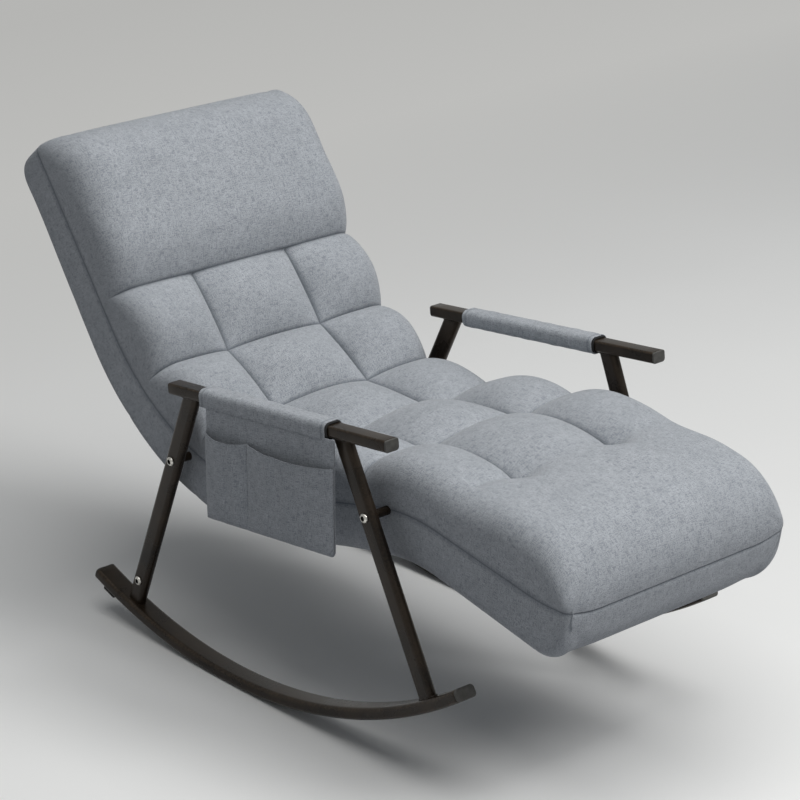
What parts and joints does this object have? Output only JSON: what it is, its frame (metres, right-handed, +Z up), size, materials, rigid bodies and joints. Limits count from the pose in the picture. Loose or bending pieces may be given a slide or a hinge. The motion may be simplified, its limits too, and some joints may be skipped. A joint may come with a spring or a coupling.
{
  "type": "rocking lounge chair",
  "caption": "Rocking lounge chair with curved steel runners, flat arms with fabric sleeves, a long tufted S-shaped cushion and a hanging side pocket.",
  "frame": {"origin": "middle of the footprint of the whole chair, on the floor", "axes": "+Z up, the sitter faces -Y, the sitter's right and the side pocket are at -X"},
  "size_m": [0.6354, 1.3476, 0.8417],
  "materials": {
    "frame_paint": "dark bronze-black satin powder coat",
    "plug_plastic": "dark grey moulded, fine texture",
    "bolt_steel": "bright zinc-plated socket head",
    "rubber": "matt black",
    "foam": "matt black closed-cell foam",
    "cushion_fabric": "heathered grey-blue linen-look weave",
    "strap_webbing": "black elastic webbing"
  },
  "bodies": {
    "chair": {"right_runner": "frame_paint", "right_runner_front_plug": "plug_plastic", "right_runner_rear_plug": "plug_plastic", "left_runner": "frame_paint", "left_runner_front_plug": "plug_plastic", "left_runner_rear_plug": "plug_plastic", "right_rear_stop": "rubber", "left_rear_stop": "rubber", "head_pad": "cushion_fabric", "back_pad": "cushion_fabric", "seat_pad": "cushion_fabric", "foot_pad": "cushion_fabric", "head_under_pad": "cushion_fabric", "back_under_pad": "cushion_fabric", "seat_under_pad": "cushion_fabric", "foot_under_pad": "cushion_fabric", "right_frame_rail": "frame_paint", "left_frame_rail": "frame_paint", "head_cross_tube": "frame_paint", "shoulder_cross_tube": "frame_paint", "lumbar_cross_tube": "frame_paint", "seat_rear_cross_tube": "frame_paint", "seat_front_cross_tube": "frame_paint", "foot_cross_tube": "frame_paint", "head_support_strap": "strap_webbing", "shoulder_support_strap": "strap_webbing", "lumbar_support_strap": "strap_webbing", "seat_rear_support_strap": "strap_webbing", "seat_middle_support_strap": "strap_webbing", "seat_front_support_strap": "strap_webbing", "foot_support_strap": "strap_webbing", "right_arm_bar": "frame_paint", "right_arm_front_plug": "plug_plastic", "right_arm_rear_plug": "plug_plastic", "left_arm_bar": "frame_paint", "left_arm_front_plug": "plug_plastic", "left_arm_rear_plug": "plug_plastic", "right_arm_foam": "foam", "right_arm_sleeve": "cushion_fabric", "left_arm_foam": "foam", "left_arm_sleeve": "cushion_fabric", "right_rear_leg": "frame_paint", "right_rear_leg_socket": "frame_paint", "right_front_leg": "frame_paint", "left_rear_leg": "frame_paint", "left_rear_leg_socket": "frame_paint", "left_front_leg": "frame_paint", "right_rear_frame_boss": "frame_paint", "right_rear_frame_bolt": "bolt_steel", "right_rear_foot_bolt": "bolt_steel", "right_front_frame_boss": "frame_paint", "right_front_frame_bolt": "bolt_steel", "left_rear_frame_boss": "frame_paint", "left_rear_frame_bolt": "bolt_steel", "left_rear_foot_bolt": "bolt_steel", "left_front_frame_boss": "frame_paint", "left_front_frame_bolt": "bolt_steel"},
    "side_pocket": {"pocket_back_panel": "cushion_fabric", "pocket_narrow_pouch": "cushion_fabric", "pocket_wide_pouch": "cushion_fabric"}
  },
  "joints": [
    {"name": "pocket_swing", "type": "hinge", "parent": "chair", "child": "side_pocket", "pos_m": [-0.3014, -0.07009, 0.51782], "axis": [0, 0.9939, -0.1106], "range_deg": [0, 90]}
  ]
}
